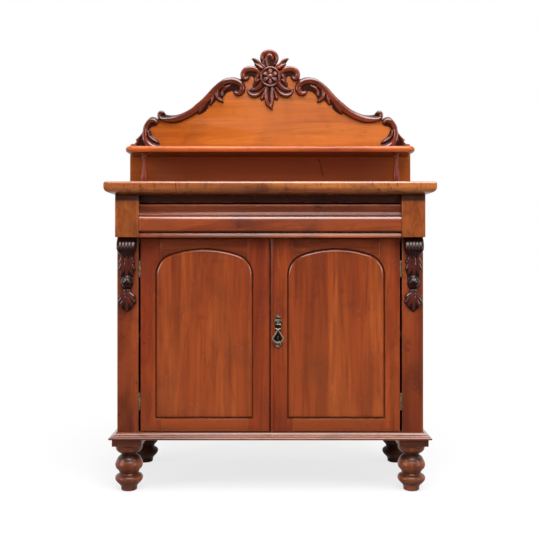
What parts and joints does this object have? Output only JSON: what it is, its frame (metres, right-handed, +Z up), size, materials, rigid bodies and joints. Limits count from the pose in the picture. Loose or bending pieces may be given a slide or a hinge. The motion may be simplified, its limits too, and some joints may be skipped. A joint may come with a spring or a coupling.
{
  "type": "chiffonier",
  "caption": "Chiffonier with a cushion-fronted drawer over a cupboard with arched panel doors, turned feet and a carved gallery back with a narrow shelf.",
  "frame": {"origin": "on the floor, in the middle of the bounding box seen from above", "axes": "+X to the right seen from the front, the front faces -Y, +Z up"},
  "size_m": [1, 0.455, 1.4605],
  "materials": {
    "case_wood": "shellac polish over reddish cedar",
    "door_wood": "shellac polish over reddish cedar",
    "panel_wood": "shellac polish over figured cedar",
    "honey_wood": "shellac polish over honey-coloured cedar",
    "drawer_wood": "deep shellac polish",
    "carved_wood": "dark stained and polished carving",
    "turned_wood": "dark polish",
    "inside_wood": "unpolished pine",
    "hinge_brass": "aged brass",
    "dark_brass": "dark tarnished brass"
  },
  "bodies": {
    "carcase": {"back_boards": "inside_wood", "base_moulding_front": "case_wood", "base_moulding_returns": "case_wood", "bolt_keeps": "hinge_brass", "bottom_board": "inside_wood", "bracket_scrolls": "carved_wood", "case_hinge_leaves": "hinge_brass", "corbels": "carved_wood", "crest_cartouche": "carved_wood", "crest_rosette": "carved_wood", "crest_scrolls": "carved_wood", "cupboard_shelf": "inside_wood", "drawer_kickers": "inside_wood", "drawer_rail": "case_wood", "drawer_runners": "inside_wood", "foot_blocks": "turned_wood", "frieze_blocks": "case_wood", "front_feet": "turned_wood", "gallery_back_board": "honey_wood", "gallery_shelf": "case_wood", "gallery_spindles": "turned_wood", "left_end_panel": "case_wood", "left_pilaster": "case_wood", "rear_feet": "turned_wood", "right_end_panel": "case_wood", "right_pilaster": "case_wood", "shelf_bearers": "inside_wood", "top_board": "case_wood", "top_front_rail": "drawer_wood"},
    "drawer": {"drawer_front": "drawer_wood", "drawer_sides": "inside_wood", "drawer_back": "inside_wood", "drawer_bottom": "inside_wood"},
    "left_door": {"left_door_hinge_stile": "door_wood", "left_door_meeting_stile": "door_wood", "left_door_top_rail": "door_wood", "left_door_bottom_rail": "door_wood", "left_door_panel": "panel_wood", "left_door_hinge_leaves": "hinge_brass", "bolt_plates": "hinge_brass"},
    "right_door": {"right_door_hinge_stile": "door_wood", "right_door_meeting_stile": "door_wood", "right_door_top_rail": "door_wood", "right_door_bottom_rail": "door_wood", "right_door_panel": "panel_wood", "right_door_hinge_leaves": "hinge_brass", "astragal_bead": "door_wood", "escutcheon_plate": "dark_brass", "lock_case": "hinge_brass"},
    "drop_handle": {"drop_handle": "dark_brass"},
    "lock_bolt": {"lock_bolt": "hinge_brass"},
    "top_bolt": {"top_bolt": "hinge_brass"},
    "bottom_bolt": {"bottom_bolt": "hinge_brass"}
  },
  "joints": [
    {"name": "drawer_slide", "type": "slide", "parent": "carcase", "child": "drawer", "axis": [0, -1, 0], "range_m": [0, 0.3]},
    {"name": "left_door_hinge", "type": "hinge", "parent": "carcase", "child": "left_door", "pos_m": [-0.402, -0.1615, 0.483], "axis": [0, 0, -1], "range_deg": [0, 95]},
    {"name": "right_door_hinge", "type": "hinge", "parent": "carcase", "child": "right_door", "pos_m": [0.402, -0.1615, 0.483], "axis": [0, 0, 1], "range_deg": [0, 95]},
    {"name": "drop_handle_swing", "type": "hinge", "parent": "right_door", "child": "drop_handle", "pos_m": [0.024, -0.1705, 0.499], "axis": [-1, 0, 0], "range_deg": [0, 80]},
    {"name": "lock_bolt_slide", "type": "slide", "parent": "right_door", "child": "lock_bolt", "axis": [-1, 0, 0], "range_m": [0, 0.009]},
    {"name": "top_bolt_slide", "type": "slide", "parent": "left_door", "child": "top_bolt", "axis": [0, 0, 1], "range_m": [0, 0.008]},
    {"name": "bottom_bolt_slide", "type": "slide", "parent": "left_door", "child": "bottom_bolt", "axis": [0, 0, -1], "range_m": [0, 0.008]}
  ]
}
